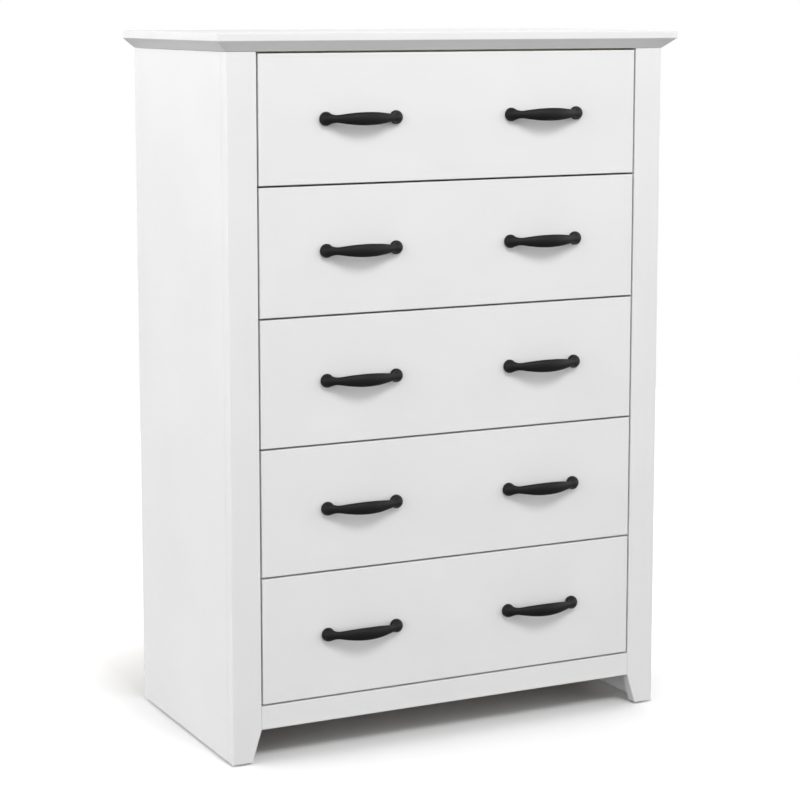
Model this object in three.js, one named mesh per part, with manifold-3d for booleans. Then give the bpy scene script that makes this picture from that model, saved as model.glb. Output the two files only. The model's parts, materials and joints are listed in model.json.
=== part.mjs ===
// Tall chest of five drawers, in millimetres.
// +X is to the right, +Y to the back and +Z up. The origin is on the floor,
// midway across the width and midway between the handles' fronts and the back.

import * as THREE from 'three';
import { mergeVertices } from 'three/addons/utils/BufferGeometryUtils.js';
import Module from 'manifold-3d';

const wasm = await Module();
wasm.setup();

// ---- Driving dimensions -------------------------------------------------

const HEIGHT = 1123;
const FIT_GAP = 0.3; // between pieces that touch on the real object

const TOP_WIDTH = 800;
const TOP_OVERHANG_FRONT = 16;
const TOP_EDGE = 12; // upright part of the top's edge
const TOP_CHAMFER = 16; // height of the sloping part below it

const BODY_WIDTH = 760;
const BODY_DEPTH = 396; // front of the stiles to the back of the sides
const SIDE_THICKNESS = 16;
const REBATE_WIDTH = 8; // step in each side's back edge, for the back panel
const REBATE_DEPTH = 5;

const STILE_WIDTH = 48.5;
const STILE_THICKNESS = 20;
const FOOT_WIDTH = 33; // the stile's width at its lower end
const APRON_BOTTOM = 53;
const APRON_TOP = 90;

const GLIDE_HEIGHT = 3;
const GLIDE_RADIUS = 7;
const REAR_RAIL_THICKNESS = 16;
const TOP_RAIL_DEPTH = 60;
const TOP_RAIL_HEIGHT = 22;
const TOP_RAIL_SETBACK = 4; // behind the stiles

const BACK_THICKNESS = 3;
const JOINER_HEIGHT = 16;
const JOINER_WALL = 1.2;
const JOINER_WEB = 2;

const DRAWER_COUNT = 5;
const DRAWER_GAP = 3;
const FRONT_THICKNESS = 18;
const BOX_RAISE = 15; // box above the lower edge of its drawer front
const BOX_HEIGHT = 150;
const BOX_LENGTH = 350;
const BOX_SIDE_THICKNESS = 15;
const BOX_BACK_THICKNESS = 12;
const BOX_BACK_INSET = 4;
const BOX_BACK_DROP = 10; // the back is this much lower than the sides
const BOTTOM_THICKNESS = 4;
const BOTTOM_GROOVE_DEPTH = 5;
const BOTTOM_GROOVE_RAISE = 10;

const GROOVE_HEIGHT = 17; // slot in the drawer's side that the tongue runs in
const GROOVE_DEPTH = 8;
const GROOVE_CENTRE = 65; // above the lower edge of the drawer's side
const TONGUE_HEIGHT = 15.5;
const TONGUE_ENTRY = 7; // how far the tongue reaches into the side
const BATTEN_HEIGHT = 40;
const STOP_WIDTH = 15;

const HANDLE_OFFSET = 160; // from the middle of the drawer front
const HANDLE_PROJECTION = 32;
const HANDLE_SPAN = 118; // between the centres of its two feet
const HANDLE_FOOT_RADIUS = 10.5;
const HANDLE_FOOT_HEIGHT = 5;
const GRIP_HALF_HEIGHT = 10.25;
const NECK_HALF_HEIGHT = 7;
const GRIP_HALF_THICKNESS = 5.75;
const NECK_HALF_THICKNESS = 4.25;
const NECK_POSITION = 43; // from the middle of the handle
const HANDLE_END_RISE = 4; // of the centreline, at the feet

// ---- Derived sizes and places -------------------------------------------

const TOP_HALF = TOP_WIDTH / 2;
const BODY_HALF = BODY_WIDTH / 2;
const BODY_TOP = HEIGHT - TOP_EDGE - TOP_CHAMFER; // underside of the top panel
const WOOD_BOTTOM = GLIDE_HEIGHT;
const WOOD_TOP = BODY_TOP - FIT_GAP;
const FRONT_Y = HANDLE_PROJECTION / 2 - BODY_DEPTH / 2;
const BACK_Y = FRONT_Y + BODY_DEPTH;
const SIDE_INNER = BODY_HALF - SIDE_THICKNESS;
const OPENING_HALF = BODY_HALF - STILE_WIDTH;
const INSIDE_FRONT_Y = FRONT_Y + STILE_THICKNESS + FIT_GAP;
const REBATE_Y = BACK_Y - REBATE_DEPTH;

const BACK_PANEL_HALF = SIDE_INNER + REBATE_WIDTH - FIT_GAP;
const BACK_PANEL_Y = [REBATE_Y + FIT_GAP, REBATE_Y + FIT_GAP + BACK_THICKNESS];
const JOINER_Z = (APRON_BOTTOM + WOOD_TOP) / 2;

const DRAWER_FRONT_HEIGHT = (BODY_TOP - APRON_TOP - (DRAWER_COUNT + 1) * DRAWER_GAP) / DRAWER_COUNT;
const DRAWER_PITCH = DRAWER_FRONT_HEIGHT + DRAWER_GAP;
const DRAWER_HALF = OPENING_HALF - DRAWER_GAP;
const BOX_FRONT_Y = FRONT_Y + FRONT_THICKNESS + FIT_GAP;
const BOX_BACK_Y = BOX_FRONT_Y + BOX_LENGTH;
const BOX_INNER = DRAWER_HALF - BOX_SIDE_THICKNESS;
const GROOVE_Z = [BOTTOM_GROOVE_RAISE, BOTTOM_GROOVE_RAISE + BOTTOM_THICKNESS + 2 * FIT_GAP];

const HANDLE_HALF_SPAN = HANDLE_SPAN / 2;
const GRIP_RISE = HANDLE_PROJECTION - GRIP_HALF_THICKNESS;

// ---- Materials ----------------------------------------------------------

const finish = (color, roughness, metalness = 0) =>
  new THREE.MeshStandardMaterial({ color, roughness, metalness });
const whiteLacquer = () => finish(0xf4f4f3, 0.45);
const whiteHardboard = () => finish(0xe9e7e2, 0.6);
const paleWood = () => finish(0xdcc7a3, 0.65);
const beech = () => finish(0xc79f72, 0.55);
const blackHandle = () => finish(0x1b1b1c, 0.5, 0.3);
const whitePlastic = () => finish(0xe6e6e4, 0.5);
const greyPlastic = () => finish(0x8d8f90, 0.6);

// ---- Geometry helpers ---------------------------------------------------

// A geometry as a solid that can be joined or cut.
function toSolid(geometry) {
  const bare = geometry.clone();
  bare.deleteAttribute('normal');
  bare.deleteAttribute('uv');
  const merged = mergeVertices(bare);
  const vertProperties = new Float32Array(merged.attributes.position.array);
  const triVerts = new Uint32Array(merged.index.array);
  return new wasm.Manifold(new wasm.Mesh({ numProp: 3, vertProperties, triVerts }));
}

function toGeometry(solid) {
  const mesh = solid.getMesh();
  const geometry = new THREE.BufferGeometry();
  geometry.setAttribute('position', new THREE.BufferAttribute(mesh.vertProperties, 3));
  geometry.setIndex(new THREE.BufferAttribute(mesh.triVerts, 1));
  geometry.computeVertexNormals();
  return geometry;
}

// A rectangular block between [low, high] pairs.
function block(x, y, z) {
  const geometry = new THREE.BoxGeometry(x[1] - x[0], y[1] - y[0], z[1] - z[0]);
  geometry.translate((x[0] + x[1]) / 2, (y[0] + y[1]) / 2, (z[0] + z[1]) / 2);
  return geometry;
}

// The [low, high] pair between two distances from the middle, on the left (-1) or right (+1).
function span(side, inner, outer) {
  return side < 0 ? [-outer, -inner] : [inner, outer];
}

function outline(points) {
  return new THREE.Shape(points.map(([u, v]) => new THREE.Vector2(u, v)));
}

// An outline of [y, z] points, carried along X.
function prismAlongX(points, x) {
  const settings = { depth: x[1] - x[0], bevelEnabled: false };
  const geometry = new THREE.ExtrudeGeometry(outline(points), settings);
  const turn = new THREE.Matrix4().makeBasis(
    new THREE.Vector3(0, 1, 0),
    new THREE.Vector3(0, 0, 1),
    new THREE.Vector3(1, 0, 0),
  );
  geometry.applyMatrix4(turn);
  geometry.translate(x[0], 0, 0);
  return geometry;
}

// An outline of [x, z] points, carried along Y.
function prismAlongY(points, y) {
  const settings = { depth: y[1] - y[0], bevelEnabled: false };
  const geometry = new THREE.ExtrudeGeometry(outline(points), settings);
  geometry.rotateX(Math.PI / 2);
  geometry.translate(0, y[1], 0);
  return geometry;
}

// An outline of [x, y] points, carried along Z.
function prismAlongZ(points, z) {
  const settings = { depth: z[1] - z[0], bevelEnabled: false };
  const geometry = new THREE.ExtrudeGeometry(outline(points), settings);
  geometry.translate(0, 0, z[0]);
  return geometry;
}

function piece(name, geometry, material) {
  const mesh = new THREE.Mesh(geometry, material);
  mesh.name = name;
  return mesh;
}

const sideName = (side) => (side < 0 ? 'left' : 'right');

// ---- Cabinet ------------------------------------------------------------

// The top's front and side edges are upright above and chamfered below; its back edge is flush.
function topPanel() {
  const chamferTop = BODY_TOP + TOP_CHAMFER;
  const seenFromFront = [
    [-BODY_HALF, BODY_TOP],
    [BODY_HALF, BODY_TOP],
    [TOP_HALF, chamferTop],
    [TOP_HALF, HEIGHT],
    [-TOP_HALF, HEIGHT],
    [-TOP_HALF, chamferTop],
  ];
  const topFrontY = FRONT_Y - TOP_OVERHANG_FRONT;
  const seenFromSide = [
    [FRONT_Y, BODY_TOP],
    [BACK_Y, BODY_TOP],
    [BACK_Y, HEIGHT],
    [topFrontY, HEIGHT],
    [topFrontY, chamferTop],
  ];
  const across = toSolid(prismAlongX(seenFromSide, [-TOP_HALF, TOP_HALF]));
  const along = toSolid(prismAlongY(seenFromFront, [topFrontY, BACK_Y]));
  return piece('top_panel', toGeometry(across.intersect(along)), whiteLacquer());
}

// A plain board with a step in its back edge, where the back panel is nailed.
function sidePanel(side) {
  const plan = [
    [SIDE_INNER, INSIDE_FRONT_Y],
    [BODY_HALF, INSIDE_FRONT_Y],
    [BODY_HALF, BACK_Y],
    [SIDE_INNER + REBATE_WIDTH, BACK_Y],
    [SIDE_INNER + REBATE_WIDTH, REBATE_Y],
    [SIDE_INNER, REBATE_Y],
  ];
  const points = plan.map(([x, y]) => [side * x, y]);
  const geometry = prismAlongZ(points, [WOOD_BOTTOM, WOOD_TOP]);
  return piece(`side_panel_${sideName(side)}`, geometry, whiteLacquer());
}

// The stile's lower end narrows to a foot on its inner edge.
function frontStile(side) {
  const face = [
    [BODY_HALF, WOOD_BOTTOM],
    [BODY_HALF, WOOD_TOP],
    [OPENING_HALF, WOOD_TOP],
    [OPENING_HALF, APRON_BOTTOM],
    [BODY_HALF - FOOT_WIDTH, WOOD_BOTTOM],
  ];
  const points = face.map(([x, z]) => [side * x, z]);
  const geometry = prismAlongY(points, [FRONT_Y, FRONT_Y + STILE_THICKNESS]);
  return piece(`front_stile_${sideName(side)}`, geometry, whiteLacquer());
}

function crossRails() {
  const apronHalf = OPENING_HALF - FIT_GAP;
  const insideHalf = SIDE_INNER - FIT_GAP;
  const topRailFront = INSIDE_FRONT_Y + TOP_RAIL_SETBACK;
  const rearRailBack = BACK_PANEL_Y[0] - FIT_GAP;
  const apron = block(
    [-apronHalf, apronHalf],
    [FRONT_Y, FRONT_Y + STILE_THICKNESS],
    [APRON_BOTTOM, APRON_TOP],
  );
  const topRail = block(
    [-insideHalf, insideHalf],
    [topRailFront, topRailFront + TOP_RAIL_DEPTH],
    [WOOD_TOP - TOP_RAIL_HEIGHT, WOOD_TOP],
  );
  const rearRail = block(
    [-insideHalf, insideHalf],
    [rearRailBack - REAR_RAIL_THICKNESS, rearRailBack],
    [APRON_BOTTOM, APRON_TOP],
  );
  return [
    piece('bottom_rail', apron, whiteLacquer()),
    piece('top_front_rail', topRail, paleWood()),
    piece('bottom_rear_rail', rearRail, paleWood()),
  ];
}

// Two sheets of hardboard, held edge to edge by a strip with an H-shaped section.
function backPanels() {
  const halfWeb = JOINER_WEB / 2;
  const across = [-BACK_PANEL_HALF, BACK_PANEL_HALF];
  const lower = block(across, BACK_PANEL_Y, [APRON_BOTTOM, JOINER_Z - halfWeb - FIT_GAP]);
  const upper = block(across, BACK_PANEL_Y, [JOINER_Z + halfWeb + FIT_GAP, WOOD_TOP]);

  const slotFront = BACK_PANEL_Y[0] - FIT_GAP;
  const slotBack = BACK_PANEL_Y[1] + FIT_GAP;
  const low = JOINER_Z - JOINER_HEIGHT / 2;
  const high = JOINER_Z + JOINER_HEIGHT / 2;
  const section = [
    [slotFront - JOINER_WALL, low],
    [slotFront, low],
    [slotFront, JOINER_Z - halfWeb],
    [slotBack, JOINER_Z - halfWeb],
    [slotBack, low],
    [slotBack + JOINER_WALL, low],
    [slotBack + JOINER_WALL, high],
    [slotBack, high],
    [slotBack, JOINER_Z + halfWeb],
    [slotFront, JOINER_Z + halfWeb],
    [slotFront, high],
    [slotFront - JOINER_WALL, high],
  ];
  const joinerHalf = SIDE_INNER - FIT_GAP;
  return [
    piece('back_panel_lower', lower, whiteHardboard()),
    piece('back_panel_upper', upper, whiteHardboard()),
    piece('back_panel_joiner', prismAlongX(section, [-joinerHalf, joinerHalf]), whitePlastic()),
  ];
}

// A nail-on glide: a low round button with a rounded rim.
function glide(side, place) {
  const top = GLIDE_HEIGHT - FIT_GAP;
  const profile = [
    [0, 0],
    [GLIDE_RADIUS - 1, 0],
    [GLIDE_RADIUS, 1],
    [GLIDE_RADIUS, top],
    [0, top],
  ];
  const points = profile.map(([r, z]) => new THREE.Vector2(r, z));
  const geometry = new THREE.LatheGeometry(points, 24);
  geometry.rotateX(Math.PI / 2);
  const isFront = place === 'front';
  const x = BODY_HALF - (isFront ? FOOT_WIDTH / 2 : SIDE_THICKNESS / 2);
  const y = isFront ? FRONT_Y + STILE_THICKNESS / 2 : BACK_Y - SIDE_THICKNESS;
  const mesh = piece(`glide_${place}_${sideName(side)}`, geometry, greyPlastic());
  mesh.position.set(side * x, y, 0);
  return mesh;
}

// A hardwood rail with a tongue for the drawer's groove and a stop behind the drawer's side.
function runner(number, side, drawerBottom) {
  const middle = drawerBottom + BOX_RAISE + GROOVE_CENTRE;
  const back = BACK_PANEL_Y[0] - FIT_GAP - JOINER_WALL - FIT_GAP;
  const stopFront = BOX_BACK_Y + 2 * FIT_GAP;
  const batten = block(
    span(side, OPENING_HALF, SIDE_INNER - FIT_GAP),
    [INSIDE_FRONT_Y, back],
    [middle - BATTEN_HEIGHT / 2, middle + BATTEN_HEIGHT / 2],
  );
  const tongue = block(
    span(side, DRAWER_HALF - TONGUE_ENTRY, OPENING_HALF + 1),
    [INSIDE_FRONT_Y + TOP_RAIL_SETBACK, stopFront + 1],
    [middle - TONGUE_HEIGHT / 2, middle + TONGUE_HEIGHT / 2],
  );
  const stop = block(
    span(side, OPENING_HALF - STOP_WIDTH, OPENING_HALF + 1),
    [stopFront, back],
    [middle - BATTEN_HEIGHT / 2, middle + BATTEN_HEIGHT / 2],
  );
  const solid = toSolid(batten).add(toSolid(tongue)).add(toSolid(stop));
  return piece(`runner_${number}_${sideName(side)}`, toGeometry(solid), beech());
}

// ---- Drawers ------------------------------------------------------------

function drawerFront(name, bottom) {
  const board = block(
    [-DRAWER_HALF, DRAWER_HALF],
    [FRONT_Y, FRONT_Y + FRONT_THICKNESS],
    [bottom, bottom + DRAWER_FRONT_HEIGHT],
  );
  const grooveHalf = BOX_INNER + BOTTOM_GROOVE_DEPTH;
  const groove = block(
    [-grooveHalf, grooveHalf],
    [FRONT_Y + FRONT_THICKNESS - BOTTOM_GROOVE_DEPTH, FRONT_Y + FRONT_THICKNESS + 1],
    GROOVE_Z.map((z) => bottom + BOX_RAISE + z),
  );
  return piece(`${name}_front`, toGeometry(toSolid(board).subtract(toSolid(groove))), whiteLacquer());
}

// The outer face has the groove for the runner's tongue, the inner face the one for the bottom.
function drawerSide(name, side, bottom) {
  const low = bottom + BOX_RAISE;
  const middle = low + GROOVE_CENTRE;
  const section = [
    [BOX_INNER, low],
    [DRAWER_HALF, low],
    [DRAWER_HALF, middle - GROOVE_HEIGHT / 2],
    [DRAWER_HALF - GROOVE_DEPTH, middle - GROOVE_HEIGHT / 2],
    [DRAWER_HALF - GROOVE_DEPTH, middle + GROOVE_HEIGHT / 2],
    [DRAWER_HALF, middle + GROOVE_HEIGHT / 2],
    [DRAWER_HALF, low + BOX_HEIGHT],
    [BOX_INNER, low + BOX_HEIGHT],
    [BOX_INNER, low + GROOVE_Z[1]],
    [BOX_INNER + BOTTOM_GROOVE_DEPTH, low + GROOVE_Z[1]],
    [BOX_INNER + BOTTOM_GROOVE_DEPTH, low + GROOVE_Z[0]],
    [BOX_INNER, low + GROOVE_Z[0]],
  ];
  const points = section.map(([x, z]) => [side * x, z]);
  const geometry = prismAlongY(points, [BOX_FRONT_Y, BOX_BACK_Y]);
  return piece(`${name}_side_${sideName(side)}`, geometry, paleWood());
}

// The bottom slides in from behind, under the back.
function drawerBackAndBottom(name, bottom) {
  const low = bottom + BOX_RAISE;
  const backHalf = BOX_INNER - FIT_GAP;
  const backY = BOX_BACK_Y - BOX_BACK_INSET;
  const back = block(
    [-backHalf, backHalf],
    [backY - BOX_BACK_THICKNESS, backY],
    [low + GROOVE_Z[1], low + BOX_HEIGHT - BOX_BACK_DROP],
  );
  const bottomHalf = BOX_INNER + BOTTOM_GROOVE_DEPTH - FIT_GAP;
  const bottomFront = FRONT_Y + FRONT_THICKNESS - BOTTOM_GROOVE_DEPTH + FIT_GAP;
  const sheet = block(
    [-bottomHalf, bottomHalf],
    [bottomFront, backY],
    [low + GROOVE_Z[0] + FIT_GAP, low + GROOVE_Z[1] - FIT_GAP],
  );
  return [
    piece(`${name}_back`, back, paleWood()),
    piece(`${name}_bottom`, sheet, whiteHardboard()),
  ];
}

// ---- Handles ------------------------------------------------------------

// The bow of the handle: oval rings along a parabola, thick in the middle, thin at the necks.
function handleBow() {
  const stations = 16;
  const sides = 12;
  const positions = [];
  const index = [];
  const swell = (x, middle, neck) =>
    (middle + neck) / 2 + ((middle - neck) / 2) * Math.cos((Math.PI * x) / NECK_POSITION);

  for (let i = 0; i <= stations; i += 1) {
    const x = HANDLE_HALF_SPAN * (-1 + (2 * i) / stations);
    const u = x / HANDLE_HALF_SPAN;
    const rise = HANDLE_END_RISE + (GRIP_RISE - HANDLE_END_RISE) * (1 - u * u);
    const slope = (-2 * u * (GRIP_RISE - HANDLE_END_RISE)) / HANDLE_HALF_SPAN;
    const lean = Math.atan(slope);
    const halfHeight = swell(x, GRIP_HALF_HEIGHT, NECK_HALF_HEIGHT);
    const halfThickness = swell(x, GRIP_HALF_THICKNESS, NECK_HALF_THICKNESS);
    for (let j = 0; j < sides; j += 1) {
      const angle = (2 * Math.PI * j) / sides;
      const out = halfThickness * Math.cos(angle);
      positions.push(
        x - out * Math.sin(lean),
        -(rise + out * Math.cos(lean)),
        halfHeight * Math.sin(angle),
      );
    }
  }
  for (let i = 0; i < stations; i += 1) {
    for (let j = 0; j < sides; j += 1) {
      const a = i * sides + j;
      const b = i * sides + ((j + 1) % sides);
      index.push(a, a + sides, b, b, a + sides, b + sides);
    }
  }
  for (let j = 1; j < sides - 1; j += 1) {
    const last = stations * sides;
    index.push(0, j, j + 1);
    index.push(last, last + j + 1, last + j);
  }
  const geometry = new THREE.BufferGeometry();
  geometry.setAttribute('position', new THREE.Float32BufferAttribute(positions, 3));
  geometry.setIndex(index);
  return geometry;
}

// A domed round foot, resting on the drawer front.
function handleFoot(side) {
  const profile = [
    [0, FIT_GAP],
    [HANDLE_FOOT_RADIUS, FIT_GAP],
    [HANDLE_FOOT_RADIUS, 2],
    [HANDLE_FOOT_RADIUS * 0.8, HANDLE_FOOT_HEIGHT],
    [0, HANDLE_FOOT_HEIGHT + 2],
  ];
  const points = profile.map(([r, rise]) => new THREE.Vector2(r, rise));
  const geometry = new THREE.LatheGeometry(points, 16);
  geometry.rotateX(Math.PI);
  geometry.translate(side * HANDLE_HALF_SPAN, 0, 0);
  return geometry;
}

// The bow with its ends trimmed where they would enter the drawer front, joined to both feet.
function handleGeometry() {
  const inFront = block([-100, 100], [-100, -FIT_GAP], [-100, 100]);
  const bow = toSolid(handleBow()).intersect(toSolid(inFront));
  return toGeometry(bow.add(toSolid(handleFoot(-1))).add(toSolid(handleFoot(1))));
}

// ---- Assembly -----------------------------------------------------------

function drawer(number, bottom, handleShape) {
  const name = `drawer_${number}`;
  const group = new THREE.Group();
  group.add(drawerFront(name, bottom));
  group.add(...drawerBackAndBottom(name, bottom));
  for (const side of [-1, 1]) {
    group.add(drawerSide(name, side, bottom));
    const handle = piece(`${name}_handle_${sideName(side)}`, handleShape.clone(), blackHandle());
    handle.position.set(side * HANDLE_OFFSET, FRONT_Y, bottom + DRAWER_FRONT_HEIGHT / 2);
    group.add(handle);
  }
  return group;
}

const chest = new THREE.Group();
chest.add(topPanel(), ...crossRails(), ...backPanels());
for (const side of [-1, 1]) {
  chest.add(sidePanel(side), frontStile(side), glide(side, 'front'), glide(side, 'rear'));
}

const handleShape = handleGeometry();
for (let number = 1; number <= DRAWER_COUNT; number += 1) {
  const bottom = BODY_TOP - number * DRAWER_PITCH; // drawer 1 is the top one
  chest.add(drawer(number, bottom, handleShape));
  chest.add(runner(number, -1, bottom), runner(number, 1, bottom));
}

export default chest;
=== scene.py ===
# %% [markdown]
# # A tall chest of five drawers
# The chest is a white lacquered cabinet with five flush drawers and black bow handles. Its sizes, its
# joints and every load-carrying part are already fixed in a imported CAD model, whose parts are
# sharp-edged and plain. This notebook remakes each part as a maker would finish it: edges are eased,
# handles are cast, wood has grain and lacquer has a skin.
#
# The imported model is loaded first, because every piece takes its place and size from it.

# %% Load the fixed frame
import json
import math

import bmesh
import bpy
from mathutils import Matrix, Vector


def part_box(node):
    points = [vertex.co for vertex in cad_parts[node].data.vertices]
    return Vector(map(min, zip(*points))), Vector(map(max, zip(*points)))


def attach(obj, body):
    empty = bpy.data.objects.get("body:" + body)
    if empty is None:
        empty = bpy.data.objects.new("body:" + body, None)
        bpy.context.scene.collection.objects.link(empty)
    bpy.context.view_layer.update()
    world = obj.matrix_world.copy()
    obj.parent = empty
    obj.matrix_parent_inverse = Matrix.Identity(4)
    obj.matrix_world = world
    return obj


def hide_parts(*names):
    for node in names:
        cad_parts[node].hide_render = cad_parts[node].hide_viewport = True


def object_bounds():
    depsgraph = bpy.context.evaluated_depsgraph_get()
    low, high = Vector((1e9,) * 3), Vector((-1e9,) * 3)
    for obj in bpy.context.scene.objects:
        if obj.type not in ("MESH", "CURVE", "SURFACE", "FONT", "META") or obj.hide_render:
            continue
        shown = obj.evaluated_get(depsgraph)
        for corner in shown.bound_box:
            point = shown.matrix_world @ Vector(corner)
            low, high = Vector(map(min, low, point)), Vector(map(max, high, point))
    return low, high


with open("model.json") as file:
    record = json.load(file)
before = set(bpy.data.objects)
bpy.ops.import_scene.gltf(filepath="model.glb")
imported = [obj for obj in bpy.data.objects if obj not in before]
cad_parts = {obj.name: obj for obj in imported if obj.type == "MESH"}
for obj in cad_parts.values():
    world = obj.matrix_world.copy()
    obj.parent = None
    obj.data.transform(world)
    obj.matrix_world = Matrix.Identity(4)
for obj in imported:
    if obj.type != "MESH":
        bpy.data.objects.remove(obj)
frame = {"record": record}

cad_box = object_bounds()
record = frame["record"]
BODY_OF = {node: body for body, nodes in record["behaviour"]["bodies"].items() for node in nodes}
SIDES = {"left": -1, "right": 1}
DRAWERS = range(1, 6)  # drawer 1 is the top one
MM = 0.001
print("chest, in mm:", [round(x / MM) for x in cad_box[1] - cad_box[0]])

# %% [markdown]
# ## The camera
# The camera stands to the left, a little above the top, so that the front, the left side and a thin
# strip of the top show. A long lens from over three metres keeps the sides nearly parallel. A small
# downward shift of the lens does part of the aiming, which keeps upright lines upright, and a slight
# tilt does the rest.

# %% Place the camera
LENS = 101.9  # mm, on a sensor 36 mm wide
CAMERA_PLACE = (-1.641, -3.307, 1.160)
CAMERA_TURN = math.radians(26.35)
CAMERA_TILT = math.radians(7.86)
CAMERA_SHIFT = -0.1

camera = bpy.data.objects.new("camera", bpy.data.cameras.new("camera"))
bpy.context.scene.collection.objects.link(camera)
camera.location = CAMERA_PLACE
camera.rotation_euler = (math.pi / 2 - CAMERA_TILT, 0, -CAMERA_TURN)
camera.data.lens = LENS
camera.data.shift_y = CAMERA_SHIFT
bpy.context.scene.camera = camera
away = camera.location - (cad_box[0] + cad_box[1]) / 2
print("camera stands", round(away.length, 2), "m from the chest's middle")

# %% [markdown]
# ## Materials: two small helpers
# Colours are picked as the hex values that a paint chart gives. A renderer needs them in linear light,
# so one function turns them. A second one adds a shader node: settings are set on the node, and each
# socket is either given a value or linked to another node's output.

# %% Helpers for colours and nodes
def linear(code):
    """A hex colour such as "#f4f4f3" as linear red, green, blue and alpha."""
    channels = [int(code[i:i + 2], 16) / 255 for i in (1, 3, 5)]
    turned = [c / 12.92 if c <= 0.04045 else ((c + 0.055) / 1.055) ** 2.4 for c in channels]
    return (*turned, 1.0)


def add_node(tree, kind, sockets=None, steps=(), **settings):
    """Add a node. A socket's value is a number, a colour or another node's output.

    The steps are the (position, hex colour) pairs of a colour ramp.
    """
    made = tree.nodes.new("ShaderNode" + kind)
    for name, value in settings.items():
        setattr(made, name, value)
    for name, value in (sockets or {}).items():
        if isinstance(value, bpy.types.NodeSocket):
            tree.links.new(value, made.inputs[name])
        else:
            made.inputs[name].default_value = value
    for index, (position, code) in enumerate(steps):
        elements = made.color_ramp.elements
        element = elements[index] if index < len(elements) else elements.new(position)
        element.position = position
        element.color = linear(code)
    return made


def new_material(name):
    """An empty material, its node tree and its Principled shader."""
    material = bpy.data.materials.new(name)
    material.use_nodes = True
    return material, material.node_tree, material.node_tree.nodes["Principled BSDF"]


# %% [markdown]
# ## White satin lacquer
# The cabinet and the drawer fronts are fibreboard, sprayed with white lacquer. The spray dries with a
# faint orange peel, a skin of shallow bumps a few millimetres apart, which softens reflections without
# showing as a texture. Large soft clouds in the roughness stand for how unevenly a sprayed coat dries.

# %% Make the lacquer
PEEL_SIZE = 3.0 * MM
CLOUD_SIZE = 140 * MM


def make_lacquer():
    """White paint with clouds in its roughness and an orange peel on its skin."""
    material, tree, shader = new_material("satin_lacquer_sprayed")
    place = add_node(tree, "TexCoord").outputs["Object"]
    clouds = add_node(tree, "TexNoise", {"Vector": place, "Scale": 1 / CLOUD_SIZE, "Detail": 3.0})
    peel = add_node(tree, "TexNoise", {"Vector": place, "Scale": 1 / PEEL_SIZE, "Detail": 2.0})
    tint = add_node(tree, "ValToRGB", {"Fac": clouds.outputs["Fac"]},
                    steps=[(0.3, "#e5e5e5"), (0.7, "#e8e8e8")])
    sheen = add_node(tree, "MapRange", {"Value": clouds.outputs["Fac"], "To Min": 0.38, "To Max": 0.5})
    skin = add_node(tree, "Bump", {"Height": peel.outputs["Fac"], "Strength": 0.06, "Distance": 0.05 * MM})
    tree.links.new(tint.outputs["Color"], shader.inputs["Base Color"])
    tree.links.new(sheen.outputs["Result"], shader.inputs["Roughness"])
    tree.links.new(skin.outputs["Normal"], shader.inputs["Normal"])
    shader.inputs["IOR"].default_value = 1.5
    shader.inputs["Specular IOR Level"].default_value = 0.4
    return material


LACQUER = make_lacquer()
print("lacquer:", len(LACQUER.node_tree.nodes), "nodes")

# %% [markdown]
# ## Poplar and beech
# The drawer boxes are planed poplar and the runners are beech. Grain runs along a board, so each wood
# is made for one direction: the pattern's coordinates are squeezed along the board, which draws every
# spot out into a streak. Broad streaks are the growth rings, cut lengthwise. Fine ones are the fibres.
# Beech also has short dark flecks.

# %% Make the woods
RING_WIDTH = 9 * MM
FIBRE_WIDTH = 0.9 * MM  # a real fibre is finer: this is as coarse as it needs to be to show
GRAIN_STRETCH = 0.06  # along the board, beside 1 across it
FLECK_SPACING = 2.2 * MM
RING_SHARE, FIBRE_SHARE = 0.72, 0.28


def make_wood(name, direction, tones, roughness, fleck=None):
    """A planed wood whose grain runs along direction, 0 for X and 1 for Y."""
    material, tree, shader = new_material(name)
    squeeze = [1.0, 1.0, 1.0]
    squeeze[direction] = GRAIN_STRETCH
    place = add_node(tree, "TexCoord").outputs["Object"]
    along = add_node(tree, "Mapping", {"Vector": place, "Scale": squeeze}).outputs["Vector"]
    rings = add_node(tree, "TexNoise", {"Vector": along, "Scale": 0.5 / RING_WIDTH, "Detail": 4.0,
                                        "Roughness": 0.45, "Distortion": 0.6})
    fibres = add_node(tree, "TexNoise", {"Vector": along, "Scale": 1 / FIBRE_WIDTH, "Detail": 2.0})
    mixed = add_node(tree, "Math", {0: rings.outputs["Fac"], 1: RING_SHARE}, operation="MULTIPLY")
    grain = add_node(tree, "Math", {0: fibres.outputs["Fac"], 1: FIBRE_SHARE, 2: mixed.outputs[0]},
                     operation="MULTIPLY_ADD")
    tint = add_node(tree, "ValToRGB", {"Fac": grain.outputs[0]}, steps=tones)
    colour = tint.outputs["Color"]
    if fleck:
        spots = add_node(tree, "TexVoronoi", {"Vector": along, "Scale": 1 / FLECK_SPACING})
        dark = add_node(tree, "MapRange", {"Value": spots.outputs["Distance"], "From Min": 0.1,
                                           "From Max": 0.24, "To Min": 0.5, "To Max": 0.0})
        colour = add_node(tree, "Mix", {0: dark.outputs["Result"], 6: colour, 7: linear(fleck)},
                          data_type="RGBA").outputs[2]
    rough = add_node(tree, "MapRange", {"Value": fibres.outputs["Fac"], "To Min": roughness - 0.08,
                                        "To Max": roughness + 0.08})
    relief = add_node(tree, "Bump", {"Height": grain.outputs[0], "Strength": 0.25, "Distance": 0.1 * MM})
    tree.links.new(colour, shader.inputs["Base Color"])
    tree.links.new(rough.outputs["Result"], shader.inputs["Roughness"])
    tree.links.new(relief.outputs["Normal"], shader.inputs["Normal"])
    return material


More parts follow.
